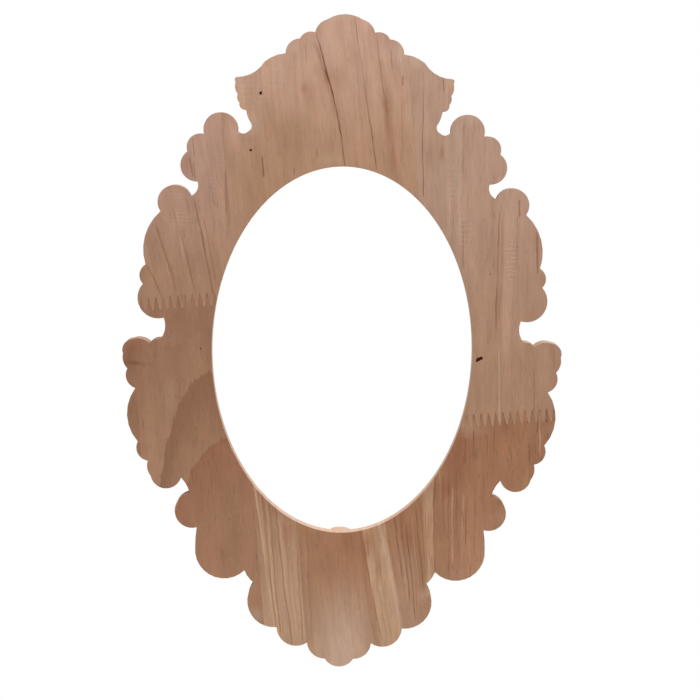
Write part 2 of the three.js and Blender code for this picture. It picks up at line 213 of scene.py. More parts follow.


# Each stave: its slot, colours of its upper and lower end, the heights between which they change,
# the lean of its grain in degrees, the strength of its growth lines, dark dashes and warm streaks,
# and where it ends in a finger joint, the joint, the way its tips point, their tint and its strength.
# The end colours make the upper staves lighter than the lower ones: partly the wood's own tone, partly
# painted light from the lamp above.
STAVES = {
    "left_stave_upper": dict(
        slot="wood_tan", upper=(0.680, 0.542, 0.470), lower=(0.630, 0.484, 0.392), span=(140, 40),
        grain=9.0, lines=0.30, dashes=0.18, warmth=0.20, tips=("left", -1, "cream", 0.35)),
    "left_stave_lower": dict(
        slot="wood_brown", upper=(0.580, 0.428, 0.338), lower=(0.662, 0.512, 0.408), span=(20, -150),
        grain=3.0, lines=0.20, dashes=0.24, warmth=0.15, tips=("left", 1, "pith_line", 0.35)),
    "narrow_stave_top": dict(
        slot="wood_pale", upper=(0.728, 0.582, 0.502), lower=(0.646, 0.500, 0.398), span=(214, 112),
        grain=6.0, lines=0.25, dashes=0.14, warmth=0.18),
    "narrow_stave_bottom": dict(
        slot="wood_tan", upper=(0.598, 0.446, 0.350), lower=(0.668, 0.536, 0.440), span=(-100, -190),
        grain=7.5, lines=0.32, dashes=0.18, warmth=0.25),
    "centre_stave_top": dict(
        slot="wood_pale", upper=(0.728, 0.582, 0.502), lower=(0.654, 0.506, 0.400), span=(214, 112),
        grain=6.0, lines=0.25, dashes=0.14, warmth=0.22),
    "centre_stave_bottom": dict(
        slot="wood_tan", upper=(0.610, 0.448, 0.334), lower=(0.650, 0.502, 0.402), span=(-130, -200),
        grain=6.5, lines=0.25, dashes=0.18, warmth=0.22),
    "right_stave_upper": dict(
        slot="wood_tan", upper=(0.686, 0.556, 0.478), lower=(0.640, 0.496, 0.400), span=(150, -45),
        grain=1.0, lines=0.26, dashes=0.16, warmth=0.18, tips=("right", -1, "cream", 0.35)),
    "right_stave_lower": dict(
        slot="wood_brown", upper=(0.590, 0.426, 0.316), lower=(0.636, 0.470, 0.360), span=(-60, -150),
        grain=1.0, lines=0.38, dashes=0.30, warmth=0.36, tips=("right", 1, "pith_line", 0.40)),
}

# Marks of each stave's figure, in the order in which they are laid on it.
FIGURE = {
    "left_stave_upper": [
        chatter((-114.8, 106), (8, 6), 2.6, "cream", 0.22),
        chatter((-110, 90), (8, 9), 2.6, "cream", 0.3),
        chatter((-90, 112), (5, 8), 2.8, "cream", 0.3),
        chatter((-84, 131), (5, 9), 2.8, "cream", 0.25),
        spot((-104, 31), (15, 8), "late_wood", 0.25),
        spot((-82, 56), (5, 12), "tan", 0.4),
        spot((-92, 150), (16, 20), "blush", 0.15),
        spot((-107, 126), (6, 13), "russet", 0.3),
        spot((-109, 110), (6, 7), "late_wood", 0.18),
        spot((-136, 52), (7, 13), "russet", 0.45),
        streak((-134, 59), (-121, 31), 1.3, "late_wood", 0.5, bow=-1, core=0),
        streak((-128, 87), (-112, 36), 1.2, "late_wood", 0.6, bow=-1, core=0),
        streak((-117, 100), (-99, 34), 1.1, "late_wood", 0.6, bow=-1, core=0),
        streak((-114.5, 98), (-107, 60), 1.4, "cream", 0.4),
        streak((-102, 105), (-87.5, 36), 1.1, "pith_line", 0.55, bow=-0.6, fade=0.05, core=0.1),
        streak((-95.5, 93), (-86, 42), 0.8, "late_wood", 0.45, bow=-0.8, core=0),
        streak((-81.5, 140), (-74, 60), 13, "tan", 0.8, core=0, fade=0.3),
        streak((-82, 160), (-78, 72), 2.2, "late_wood", 0.4, bow=-1.2, core=0),
        streak((-79.8, 124), (-79, 92), 1, "late_wood", 0.35),
        streak((-105, 132), (-102, 116), 0.8, "pith_line", 0.4),
        streak((-102.5, 128), (-100.5, 115), 0.6, "late_wood", 0.55),
        streak((-102, 145), (-101, 130), 0.6, "late_wood", 0.5),
        streak((-89.5, 114), (-87, 98), 0.8, "late_wood", 0.45),
    ],
    "left_stave_lower": [
        arch((-81, -14), 2200, 3.2, 60, "late_wood", 0.58),
        arch((-75, -60), 60, 2.2, 60, "russet", 0.56),
        arch((-75, -60), 60, 2.2, 6, "late_wood", 0.32),
        spot((-117, -34), (7, 24), "cream", 0.16),
        spot((-116, 8), (9, 9), "tan", 0.3),
        spot((-87, -56), (5, 8), "late_wood", 0.22),
        spot((-143, 0), (11, 10), "russet", 0.55),
        streak((-178, -5.5), (-122, -11.6), 2.6, "pith_line", 0.6, fade=0.45, core=0),
        spot((-96.4, 0.9), (0.8, 0.8), "knot", 0.9, core=0.3),
        spot((-76, -117), (0.7, 1.4), "pith_line", 0.5),
        spot((-58, -184), (9, 9), "cream", 0.4),
        spot((-138, -69), (8, 9), "late_wood", 0.25),
        spot((-143, -41), (6, 10), "russet", 0.25),
        spot((-147, -9), (8, 16), "late_wood", 0.48),
        streak((-146, 10), (-138, -90), 10, "late_wood", 0.38, core=0, fade=0.1),
    ],
    "narrow_stave_top": [
        streak((-82.8, 160), (-74, 60), 15, "tan", 0.85, core=0, fade=0.01),
        spot((-75, 148), (8, 18), "blush", 0.5),
        spot((-62, 154), (7, 13), "cream", 0.6),
        spot((-66, 112), (12, 26), "olive", 0.22),
        chatter((-60, 176), (14, 16), 3.6, "cream", 0.22),
        streak((-55.4, 133), (-54.3, 117), 0.8, "pith_line", 0.6),
        spot((-56.5, 174.3), (1.3, 1.4), "knot", 1, core=0.5),
        spot((-55.8, 175.3), (0.6, 0.9), "knot", 0.8, core=0.2),
        spot((-63, 136), (1.2, 1.1), "knot", 1, core=0.5),
    ],
    "narrow_stave_bottom": [
        streak((-42.5, -106), (-33, -210), 12, "straw", 0.45, core=0.8, fade=0.18),
        spot((-37, -126), (6, 15), "russet", 0.5),
        streak((-59.5, -92), (-44.5, -196), 1.1, "straw", 0.85, bow=-0.4, fade=0.03),
        streak((-56.5, -94), (-46, -186), 0.9, "straw", 0.6),
        streak((-54, -98), (-43.2, -196), 0.7, "late_wood", 0.55, fade=0.04),
        streak((-52, -98), (-42, -196), 0.9, "straw", 0.75),
        streak((-49.4, -104), (-40.4, -198), 0.8, "late_wood", 0.55, fade=0.04),
        streak((-47.5, -104), (-38.6, -198), 0.5, "late_wood", 0.3, fade=0.04),
        streak((-45.5, -106), (-32.2, -206), 0.7, "pith_line", 0.42, fade=0.03),
        streak((-43.5, -108), (-30.4, -206), 1, "straw", 0.55),
        streak((-39.5, -110), (-30, -204), 0.5, "late_wood", 0.32),
        streak((-35.5, -112), (-27.5, -204), 0.6, "late_wood", 0.3),
        streak((-30, -130), (-24.6, -206), 0.7, "late_wood", 0.5),
    ],
    "centre_stave_top": [
        spot((-40, 144), (25, 28), "olive", 0.4),
        chatter((-44, 184), (12, 12), 3.6, "cream", 0.2),
        spot((5, 200), (7, 12), "russet", 0.18),
        spot((37, 203), (11, 14), "cream", 0.85),
        spot((-35.6, 206), (8, 8), "cream", 0.65),
        spot((-8, 184), (17, 13), "russet", 0.28),
        spot((-25, 175), (9, 12), "russet", 0.22),
        spot((-19, 191), (5, 8), "late_wood", 0.2),
        spot((41, 192), (6, 8), "cream", 0.35),
        spot((-2, 226), (11, 5), "cream", 0.6),
        spot((-18, 208), (6, 8), "cream", 0.45),
        streak((24, 200), (31, 160), 4, "russet", 0.38, core=0),
        spot((-9, 130), (13, 9), "straw", 0.65),
        spot((-27.4, 177.4), (4, 6), "russet", 0.4),
        streak((44, 205), (48, 105), 8, "straw", 0.3, core=0, fade=0.02),
        streak((-26.5, 208), (-25, 194), 0.5, "late_wood", 0.4),
        streak((-21, 212), (-5, 155), 2.8, "russet", 0.55, bow=-1.6, core=0),
        streak((-19.5, 216), (0.7, 124), 0.75, "pith_line", 0.82, bow=-2.4, fade=0.04),
        streak((-13.5, 192), (-7, 171), 0.8, "pith_line", 0.6, bow=-0.3),
        streak((6, 228), (22.4, 122), 0.5, "pith_line", 0.48, bow=-0.5, fade=0.03),
        streak((17, 160), (22.3, 123), 0.7, "pith_line", 0.4, fade=0.08),
        # A lighter, pinker patch at the top edge of the crown, and a streak under it.
        spot((12.5, 221), (6, 8), "blush", 0.7),
        streak((10, 212), (14, 180), 3, "blush", 0.35, core=0),
        streak((21.2, 215), (29.5, 157), 0.6, "pith_line", 0.32, bow=0.4),
        streak((27, 176), (35, 120), 4, "russet", 0.6, core=0),
        streak((31, 206), (32.5, 190), 0.6, "late_wood", 0.4),
        streak((39, 187), (39, 180), 0.7, "late_wood", 0.65),
        streak((39, 172), (39.6, 128), 0.8, "late_wood", 0.3),
        streak((-18.6, 138), (-18.2, 131), 0.7, "late_wood", 0.6),
        streak((-32.8, 125), (-32.6, 119), 0.7, "late_wood", 0.55),
    ],
    "centre_stave_bottom": [
        spot((2, -210), (32, 62), "cream", 0.85),
        spot((4, -136), (18, 14), "russet", 0.35),
        spot((63, -94), (8, 16), "russet", 0.55),
        spot((42, -186), (6, 8), "cream", 0.35),
        spot((58, -169), (6, 8), "cream", 0.35),
        spot((-18, -122), (6, 7), "tan", 0.35),
        streak((-24, -106), (-18, -212), 0.9, "late_wood", 0.4),
        streak((-25, -125), (-20, -195), 3, "tan", 0.45, core=0),
        streak((12.5, -112), (28.5, -215), 2.6, "russet", 0.5, core=0, bow=1.2),
        streak((19.5, -105), (39.5, -215), 9, "straw", 0.85, core=0.82, fade=0.01),
        streak((13.5, -118), (32, -210), 0.9, "late_wood", 0.58, bow=0.9, fade=0.25),
        streak((26, -116), (44.5, -198), 2.6, "cream", 0.6, bow=-0.9, fade=0.03, core=0),
        streak((20.5, -118), (33, -200), 0.5, "late_wood", 0.35),
        streak((23.5, -118), (36.5, -204), 0.5, "late_wood", 0.3),
        streak((31.5, -118), (46, -190), 0.5, "late_wood", 0.35),
        streak((43, -92), (51, -192), 8.5, "russet", 0.45, core=0.3, fade=0.22),
        streak((44, -130), (52, -225), 11, "tan", 0.8, core=0.2),
        spot((21, -131), (9, 22), "russet", 0.5),
        spot((27, -152), (6, 14), "russet", 0.22),
        streak((36.5, -110), (44, -160), 0.8, "pith_line", 0.5),
        streak((39.5, -112), (48, -180), 0.6, "straw", 0.4),
        streak((41.5, -112), (49, -176), 0.7, "late_wood", 0.7),
        streak((45.5, -118), (53, -190), 0.7, "pith_line", 0.45),
        streak((49, -110), (56, -180), 0.6, "straw", 0.4),
        streak((51.5, -102), (58, -168), 0.8, "late_wood", 0.65),
        streak((55, -100), (60.5, -165), 0.6, "late_wood", 0.5),
        streak((60, -82), (63, -170), 4.4, "straw", 0.6, core=0.6, fade=0.01),
        streak((58, -92), (60, -160), 0.6, "late_wood", 0.45),
        streak((64.4, -80), (65.4, -165), 0.9, "late_wood", 0.75, fade=0.02),
    ],
    "right_stave_upper": [
        spot((60, 138), (10, 28), "olive", 0.42),
        spot((85, 159), (13, 9), "cream", 0.65),
        spot((71, 182), (7, 10), "cream", 0.7),
        spot((47, 198), (10, 10), "cream", 0.75),
        spot((131, 77), (6, 14), "russet", 0.25),
        spot((92, 108), (7, 14), "olive", 0.3),
        spot((136, 49), (6, 9), "russet", 0.25),
        streak((52.6, 191), (54.3, 104), 0.6, "pith_line", 0.55, fade=0.04),
        streak((66.4, 186), (66.6, 176), 0.7, "late_wood", 0.65),
        spot((71, 178), (4, 9), "amber", 0.35),
        spot((66.4, 135), (2.5, 9), "russet", 0.55),
        streak((75.5, 160), (78.5, 70), 4, "cream", 0.5, core=0.4),
        streak((61, 150), (64, 95), 2.5, "cream", 0.25, core=0),
        streak((80.4, 160), (80.8, 122), 0.9, "late_wood", 0.4),
        streak((72, 107), (72.3, 78), 0.7, "blush", 0.6),
        streak((80.8, 92), (82, 56), 0.9, "late_wood", 0.45),
        streak((106.8, 104), (105, 8), 1, "pith_line", 0.46, bow=1.1),
        streak((108.5, 100), (106, 14), 2, "russet", 0.4, core=0),
        streak((112.6, 115), (111.6, -10), 4.2, "blush", 0.24, core=0.5),
        streak((118.7, 105), (119.5, 92), 0.9, "pith_line", 0.6),
        streak((118.2, 96), (117.6, 56), 0.7, "late_wood", 0.45),
        streak((131.3, 84), (132.4, 52), 1.1, "late_wood", 0.65),
        streak((107.4, 8), (108.2, -54), 0.8, "cream", 0.6),
        streak((131.3, -8), (131.8, -44), 0.6, "late_wood", 0.6),
        streak((145.3, 3), (145.5, -12), 0.6, "late_wood", 0.55),
        chatter((74.5, 116), (4, 17), 3.4, "cream", 0.4),
        chatter((82, 83), (6.5, 15), 3.4, "cream", 0.4),
        chatter((114.4, 64), (5, 20), 3, "blush", 0.45),
        spot((100.3, 53.8), (0.7, 1.7), "pith_line", 0.7),
        spot((98.6, -18), (1.2, 2.2), "amber", 0.5),
        spot((93.8, -15.3), (0.9, 1.5), "amber", 0.4),
        spot((93.2, -4.6), (1.9, 1.5), "knot", 1, core=0.6),
        spot((92.2, -5.6), (1, 1.2), "knot", 1, core=0.5),
        spot((94.9, -3.8), (1.7, 1.4), "knot", 1, core=0.6),
    ],
    "right_stave_lower": [
        spot((79, -72), (15, 28), "russet", 0.85),
        spot((89, -52), (16, 10), "tan", 0.62),
        spot((109, -115), (9, 9), "tan", 0.4),
        spot((82, -154), (13, 9), "tan", 0.4),
        spot((143, -52), (6, 8), "tan", 0.35),
        spot((73, -94), (12, 12), "russet", 0.75),
        streak((134.3, -38), (134.7, -56), 0.8, "pith_line", 0.55),
        spot((140.5, -46.5), (1.3, 1.8), "pith_line", 0.6),
        spot((126.9, -47.5), (1.6, 1), "pith_line", 0.4),
        spot((114, -67), (11, 14), "amber", 0.2),
        streak((135.8, -38), (136.4, -74), 1, "straw", 0.65, fade=0.2),
        streak((65, -70), (64.9, -160), 1.3, "late_wood", 0.55, fade=0.02),
        streak((67.4, -74), (69.1, -160), 1.1, "straw", 0.85, fade=0.05),
        streak((70.5, -82), (71.2, -160), 1.1, "late_wood", 0.6),
        streak((74.5, -80), (74.8, -158), 0.8, "late_wood", 0.5),
        streak((77, -90), (77.3, -150), 0.9, "straw", 0.5),
        streak((79.8, -78), (80, -130), 0.8, "late_wood", 0.6),
        streak((84.2, -96), (84.4, -140), 0.9, "straw", 0.5),
        streak((86.4, -96), (86.6, -136), 0.7, "late_wood", 0.55),
        streak((92, -90), (92.4, -145), 0.6, "late_wood", 0.35),
        streak((90.3, -52), (90.5, -74), 0.8, "pith_line", 0.5),
        streak((84.9, -58), (85, -78), 0.9, "pith_line", 0.45),
        streak((100, -55), (100.2, -74), 0.7, "late_wood", 0.65),
        streak((104.7, -53), (105, -70), 0.7, "late_wood", 0.7),
        streak((118, -52), (118.3, -66), 0.6, "late_wood", 0.5),
        streak((128.8, -60), (129, -78), 0.8, "pith_line", 0.42),
    ],
}


def linear(colour):
    """Display colour to the linear light that a shader socket takes."""
    c = np.asarray(colour, float)
    light = np.where(c <= 0.04045, c / 12.92, ((c + 0.055) / 1.055) ** 2.4)
    return (*light, 1.0)


def length_setting(name, description, default):
    return bpy.props.FloatProperty(name=name, description=description, default=default, unit="LENGTH")


def colour_setting(name, description, default):
    return bpy.props.FloatVectorProperty(
        name=name, description=description, default=default, subtype="COLOR_GAMMA", min=0, max=1)


class FrameSizes(bpy.types.PropertyGroup):
    """Sizes of the finish that a user would change."""
    edge_rounding: length_setting("Edge rounding", "Radius that sanding leaves on the sawn edges", 0.45 * MM)
    metal_rounding: length_setting("Metal rounding", "Radius on the stamped edges of the hanger", 0.15 * MM)
    glue_recess: length_setting("Glue recess", "Depth of the dried glue below the wood's faces", 0.02 * MM)
    thread_depth: length_setting("Thread depth", "Height of the screw thread over its core", 0.35 * MM)
    floor_drop: length_setting("Floor drop", "Height of the hanging frame's foot over the floor", 0.24)
    floor_radius: length_setting("Floor radius", "Radius of the round floor under the frame", 0.8)


class FrameColours(bpy.types.PropertyGroup):
    """Colours that a user would change, as they look on a screen."""
    glue: colour_setting("Glue", "Dried glue in the joints", (0.60, 0.45, 0.35))
    brass: colour_setting("Brass", "Plated turn buttons and their screws", (0.80, 0.66, 0.38))
    zinc: colour_setting("Zinc", "Plated hanger and its screws", (0.76, 0.75, 0.71))
    floor: colour_setting("Floor", "Floor under the frame", (0.94, 0.94, 0.93))
    __annotations__.update({
        f"{stave}_{end}": colour_setting(
            f"{stave} {end}".replace("_", " "), f"Wood at the {end} end", plan[end])
        for stave, plan in STAVES.items() for end in ("upper", "lower")})


# Shader building blocks


def add(tree, kind, *inputs, **settings):
    """A node with its settings and its inputs in order, each as feed takes it."""
    node = tree.nodes.new(kind)
    for key, value in settings.items():
        setattr(node, key, value)
    for socket, value in zip(node.inputs, inputs):
        feed(tree, value, socket)
    return node


def feed(tree, value, socket):
    """Links a field to a socket, or writes a plain value on it. None leaves the default."""
    if isinstance(value, Field):
        tree.links.new(value.socket, socket)
    elif value is not None:
        socket.default_value = value


class Field:
    """A number that varies over a surface: an output of a node tree. Reckoning with it adds nodes."""
    node = "ShaderNodeMath"

    def __init__(self, tree, socket):
        self.tree, self.socket = tree, socket

    def reckon(self, operation, *values):
        return type(self)(self.tree, add(self.tree, self.node, *values, operation=operation).outputs[0])

    def __add__(self, other):
        return self.reckon("ADD", self, other)

    def __sub__(self, other):
        return self.reckon("SUBTRACT", self, other)

    def __rsub__(self, other):
        return self.reckon("SUBTRACT", other, self)

    def __mul__(self, other):
        return self.reckon("MULTIPLY", self, other)

    def __truediv__(self, other):
        return self.reckon("DIVIDE", self, other)

    def __pow__(self, other):
        return self.reckon("POWER", self, other)

    def __abs__(self):
        return self.reckon("ABSOLUTE", self)

    __radd__ = __add__

    def ease(self, start, end, low=0.0, high=1.0):
        """Smooth step from low, where the number is at start, to high, where it is at end."""
        node = add(self.tree, "ShaderNodeMapRange", self, start, end, low, high,
                   interpolation_type="SMOOTHSTEP")
        return Field(self.tree, node.outputs[0])


class VectorField(Field):
    """A point, direction or colour that varies over a surface."""
    node = "ShaderNodeVectorMath"

    def dot(self, other):
        node = add(self.tree, self.node, self, other, operation="DOT_PRODUCT")
        return Field(self.tree, node.outputs["Value"])

    def length(self):
        return Field(self.tree, add(self.tree, self.node, self, operation="LENGTH").outputs["Value"])

    def part(self, axis):
        return Field(self.tree, add(self.tree, "ShaderNodeSeparateXYZ", self).outputs[axis])

    def noise(self, scale, detail=2.0, roughness=0.5):
        """Fractal noise, about 0.5 on average, with its cycles per length along x, y and z."""
        node = add(self.tree, "ShaderNodeTexNoise", self * scale, None, 1.0, detail, roughness)
        return Field(self.tree, node.outputs[0])


def sideways_up(x, z):
    """A vector that varies over a surface, from a field of its x and its z."""
    return VectorField(x.tree, add(x.tree, "ShaderNodeCombineXYZ", x, 0.0, z).outputs[0])


def blend(factor, a, b):
    """The colour that goes from a, where the factor is 0, to b, where it is 1."""
    node = add(factor.tree, "ShaderNodeMix", data_type="RGBA")
    for socket, value in zip((0, 6, 7), (factor, a, b)):
        feed(factor.tree, value, node.inputs[socket])
    return VectorField(factor.tree, node.outputs[2])


def toned(colour, factor):
    """A colour made darker or lighter by a factor that varies over a surface."""
    node = add(factor.tree, "ShaderNodeVectorMath", colour, operation="SCALE")
    feed(factor.tree, factor, node.inputs["Scale"])
    return VectorField(factor.tree, node.outputs[0])


def new_group(name, vectors, numbers):
    """An empty node group of vector and number inputs, as (tree, each input, mask to feed)."""
    tree = bpy.data.node_groups.new(name, "ShaderNodeTree")
    for kind, sockets in (("NodeSocketVector", vectors), ("NodeSocketFloat", numbers)):
        for socket in sockets:
            tree.interface.new_socket(socket, in_out="INPUT", socket_type=kind)
    tree.interface.new_socket("Mask", in_out="OUTPUT", socket_type="NodeSocketFloat")
    given = tree.nodes.new("NodeGroupInput").outputs
    mask = tree.nodes.new("NodeGroupOutput").inputs["Mask"]
    return (tree, *(VectorField(tree, given[s]) for s in vectors),
            *(Field(tree, given[s]) for s in numbers), mask)


def streak_group():
    """Mask of a bowed stroke. With u along it from 0 to 1 and v to its side, the mask falls from
    the centre line v = 4 bow u (1 - u) to the half width, and fades at both ends of u."""
    tree, point, start, along, side, bow, half_width, core, fade, mask = new_group(
        "figure_streak", ("Point", "Start", "Along", "Side"), ("Bow", "Half width", "Core", "Fade"))
    offset = point - start
    u = offset.dot(along)
    rest = 1.0 - u
    v = offset.dot(side) - u * rest * 4.0 * bow
    ends = u.reckon("MINIMUM", u, rest)
    feed(tree, (abs(v) / half_width).ease(1.0, core) * ends.ease(0.0, fade), mask)
    return tree


def spot_group():
    """Mask of an ellipse: 1 inside its core, 0 outside its radii."""
    tree, point, centre, radii, core, mask = new_group(
        "figure_spot", ("Point", "Centre", "Radii"), ("Core",))
    feed(tree, ((point - centre) / radii).length().ease(1.0, core), mask)
    return tree


def arch_group():
    """Mask under the curve z = peak - |x - x0| ** power / spread: it starts sharply at the curve
    and fades out over the depth below it."""
    tree, point, peak, spread, power, depth, edge, mask = new_group(
        "figure_arch", ("Point", "Peak"), ("Spread", "Power", "Depth", "Edge"))
    offset = peak - point
    below = offset.part("Z") - abs(offset.part("X")) ** power / spread
    feed(tree, below.ease(0.0, edge) * below.ease(depth, edge, RING_FOOT, 1.0), mask)
    return tree


def mark_mask(point, mark, groups):
    """The mask of one mark of the figure at a point of the board, rippled if it has a pitch."""
    node = add(point.tree, "ShaderNodeGroup", point, *mark.inputs, node_tree=groups[mark.kind])
    mask = Field(point.tree, node.outputs["Mask"])
    if mark.pitch is None:
        return mask
    uneven = point.noise((0.3, 0.3, 0.3), 1.0) * mark.pitch + point.part("Z")
    ripple = uneven.reckon("SINE", uneven * (2 * math.pi / mark.pitch))
    return mask * ripple.ease(0.3, 1.0)


def finger_tips(point, joint, way):
    """Mask of a stave's finger tips, which are tinted lighter or darker than the rest: 0 half way along
    the fingers of a joint and up to 1 at the tips, unevenly. The tips point up the stave for way 1
    and down it for -1."""
    up_stave = (-math.sin(STAVE_LEAN), 0.0, math.cos(STAVE_LEAN))
    over = point.dot(up_stave) - FINGER_JOINTS[joint][0]
    uneven = point.noise((0.35, 0.35, 0.02), 1.0).ease(0.35, 0.65)
    return over.ease(0.0, way * FINGER_LENGTH / 2) * uneven


def new_material(name):
    """A material, its Principled shader and the place on its object in metres."""
    material = bpy.data.materials.new(name)
    material.use_nodes = True
    tree = material.node_tree
    place = VectorField(tree, add(tree, "ShaderNodeTexCoord").outputs["Object"])
    return material, tree.nodes["Principled BSDF"], place


def coat(shader, colour, roughness, relief=None, strength=0.0, depth=0.0):
    """Gives a shader its colour and roughness and, with a relief, bumps of a depth in metres."""
    tree = shader.id_data
    feed(tree, colour, shader.inputs["Base Color"])
    feed(tree, roughness, shader.inputs["Roughness"])
    if relief is not None:
        bump = add(tree, "ShaderNodeBump", strength, depth)
        feed(tree, relief, bump.inputs["Height"])
        tree.links.new(bump.outputs[0], shader.inputs["Normal"])


def wood_material(stave, plan, colours, groups, seed):
    """Bare sanded wood of one stave: two end colours, growth lines, warm streaks, fibres and open
    pores along its grain, the marks of its figure, and sawn walls with cutter lines under a painted
    light, strongest on the opening's lip."""
    material, shader, place = new_material(f"{stave}_wood")
    tree = place.tree
    point = place * ((1 / MM,) * 3) - OPENING_CENTRE / MM
    lean = (0, math.radians(plan["grain"]), 0)
    grain = VectorField(tree, add(tree, "ShaderNodeMapping", point, NEXT_GRAIN * seed, lean).outputs[0])
    fields = {}
    for name, (scale, detail, roughness, *rise) in GRAIN.items():
        noise = grain.noise(scale, detail, roughness)
        fields[name] = noise.ease(*rise) if rise else noise - 0.5
    fibres, dashes = fields["fibres"], fields["dashes"]

    # Painted light in part: the end colours make the frame lighter towards its top.
    top, foot = plan["span"]
    lower, upper = (linear(getattr(colours, f"{stave}_{end}")) for end in ("lower", "upper"))
    colour = blend(point.part("Z").ease(foot, top), lower, upper)
    colour = blend(fields["warm"] * plan["warmth"], colour, linear(TINTS["russet"]))

    aside = fields["sway"] * SWAY
    edge_aside = fields["ragged"] * RAGGED_EDGE + aside
    moved = {
        "spot": point,
        "streak": point + sideways_up(aside, 0.0),
        "arch": point + sideways_up(edge_aside, fibres * FIBRE_EDGE),
    }
    for mark in FIGURE[stave]:
        amount = mark_mask(moved[mark.kind], mark, groups) * mark.strength
        if mark.kind == "streak":
            amount = amount * fields["patchy"]
        colour = blend(amount, colour, linear(TINTS[mark.tint]))
    if "tips" in plan:
        joint, way, tint, strength = plan["tips"]
        colour = blend(finger_tips(point, joint, way) * strength, colour, linear(TINTS[tint]))

    tone = 1.0 + fields["lines"] * plan["lines"] + fibres * FIBRE_TONE + fields["mottle"] * MOTTLE_TONE
    colour = toned(colour, tone - dashes * plan["dashes"] + fields["flecks"] * FLECK_TONE)

    facing = VectorField(tree, add(tree, "ShaderNodeNewGeometry").outputs["Normal"])
    wall = abs(facing.part("Y")).ease(0.8, 0.3)
    lip = wall * (point * LIP_REACH).length().ease(1.02, 1.0)
    cutter = point.noise(CUTTER_LINES)
    # Painted light: sawn walls, and the opening's lip more, are blended towards a pale tint as if lit from
    # above. The cutter lines in it are the walls' own texture.
    sawn = toned(linear(TINTS["painted_wall_light"])[:3], cutter.ease(0.2, 0.8, 0.82, 1.05))
    colour = blend(lip * LIP_LIGHT_SHARE + wall * WALL_LIGHT_SHARE, colour, sawn)

    relief = fibres - dashes * PORE_DEPTH + cutter * wall * CUTTER_DEPTH
    coat(shader, colour, fibres.ease(-0.3, 0.3, 0.62, 0.82), relief, 0.35, 0.12 * MM)
    shader.inputs["Specular IOR Level"].default_value = 0.08
    return material


def glue_material(colour):
    """Dried glue: amber, a little glossy, with wood dust caught in it."""
    material, shader, place = new_material("dried_glue")
    dust = place.noise((900.0, 900.0, 900.0), 3.0)
    coat(shader, toned(linear(colour)[:3], dust.ease(0.3, 0.7, 0.8, 1.15)), dust.ease(0.3, 0.7, 0.4, 0.6))
    return material


def metal_material(name, colour, polish):
    """Plated stamping: rolled scratches along x, cloudy tarnish and small pits in its gloss."""
    material, shader, place = new_material(name)
    cloud = place.noise((220.0, 220.0, 220.0), 3.0)
    rolled = place.noise((150.0, 6000.0, 6000.0))
    tone = toned(linear(colour)[:3], cloud.ease(0.25, 0.75, 0.80, 1.05))
    worn = rolled * 0.25 + cloud.ease(0.3, 0.7, polish, polish + 0.15)
    coat(shader, tone, worn, rolled, 0.15, 0.03 * MM)
    shader.inputs["Metallic"].default_value = 1.0
    return material


# Mesh building blocks


def full_turn(count):
    """Even steps round a circle, as a row of angles."""
    return np.linspace(0, 2 * math.pi, count, endpoint=False)[None, :]


def grid_mesh(name, grid, close_ends):
    """Mesh of a tube-like surface: rows of a (rows, around, 3) grid, closed around. The two ends are
    closed by a face each, or, with close_ends False, the last row joins the first."""
    rows, around, _ = grid.shape
    row = np.arange(rows - 1 if close_ends else rows)[:, None]
    col = np.arange(around)[None, :]
    this, above = row * around, (row + 1) % rows * around
    right = (col + 1) % around
    quads = np.stack([this + col, this + right, above + right, above + col], -1)
    faces = quads.reshape(-1, 4).tolist()
    if close_ends:
        faces.append(np.arange(around)[::-1].tolist())
        faces.append(((rows - 1) * around + np.arange(around)).tolist())
    mesh = bpy.data.meshes.new(name)
    mesh.from_pydata(grid.reshape(-1, 3).tolist(), [], faces)
    shape = bmesh.new()
    shape.from_mesh(mesh)
    bmesh.ops.remove_doubles(shape, verts=shape.verts, dist=NEW_WELD)
    bmesh.ops.recalc_face_normals(shape, faces=shape.faces)
    shape.to_mesh(mesh)
    shape.free()
    return mesh


def new_piece(name, mesh, material, body, node, sharp_deg=40):
    """Links a finished mesh as a piece that rides on a body and stands for a node, if it has one."""
    mesh.materials.clear()
    mesh.materials.append(material)
    mesh.shade_smooth()
    mesh.set_sharp_from_angle(angle=math.radians(sharp_deg))
    piece = bpy.data.objects.new(name, mesh)
    bpy.context.scene.collection.objects.link(piece)
    even = piece.modifiers.new("even_shading", "WEIGHTED_NORMAL")
    even.keep_sharp = True
    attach(piece, body)
    if node:
        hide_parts(node)
    return piece


def merged_copy(node):
    """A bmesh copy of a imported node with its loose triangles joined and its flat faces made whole."""
    shape = bmesh.new()
    shape.from_mesh(frame["nodes"][node].data)
    bmesh.ops.remove_doubles(shape, verts=shape.verts, dist=PACKED_WELD)
    bmesh.ops.dissolve_limit(shape, angle_limit=FLAT_ANGLE, verts=shape.verts, edges=shape.edges)
    shape.normal_update()
    return shape


def rounded_mesh(name, shape, edges, rounding):
    """Mesh of a bmesh shape, which it frees, with some of its edges rounded."""
    bmesh.ops.bevel(shape, geom=edges, offset=rounding, segments=2, profile=0.5,
                    affect="EDGES", clamp_overlap=True)
    mesh = bpy.data.meshes.new(name)
    shape.to_mesh(mesh)
    shape.free()
    return mesh


def surface_tree(nodes):
    """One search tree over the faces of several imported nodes."""
    shape = bmesh.new()
    for node in nodes:
        shape.from_mesh(frame["nodes"][node].data)
    tree = BVHTree.FromBMesh(shape)
    shape.free()
    return tree


def is_wall(face):
    """True for a face that looks to a side, not out of the front or back."""
    return abs(face.normal.y) <= 0.5


def is_glued(face, others):
    """True for a wall of a stave that faces another stave across a glue gap."""
    reach = 5 * GLUE_GAP * MM
    return is_wall(face) and others.ray_cast(face.calc_center_median(), face.normal, reach)[0] is not None


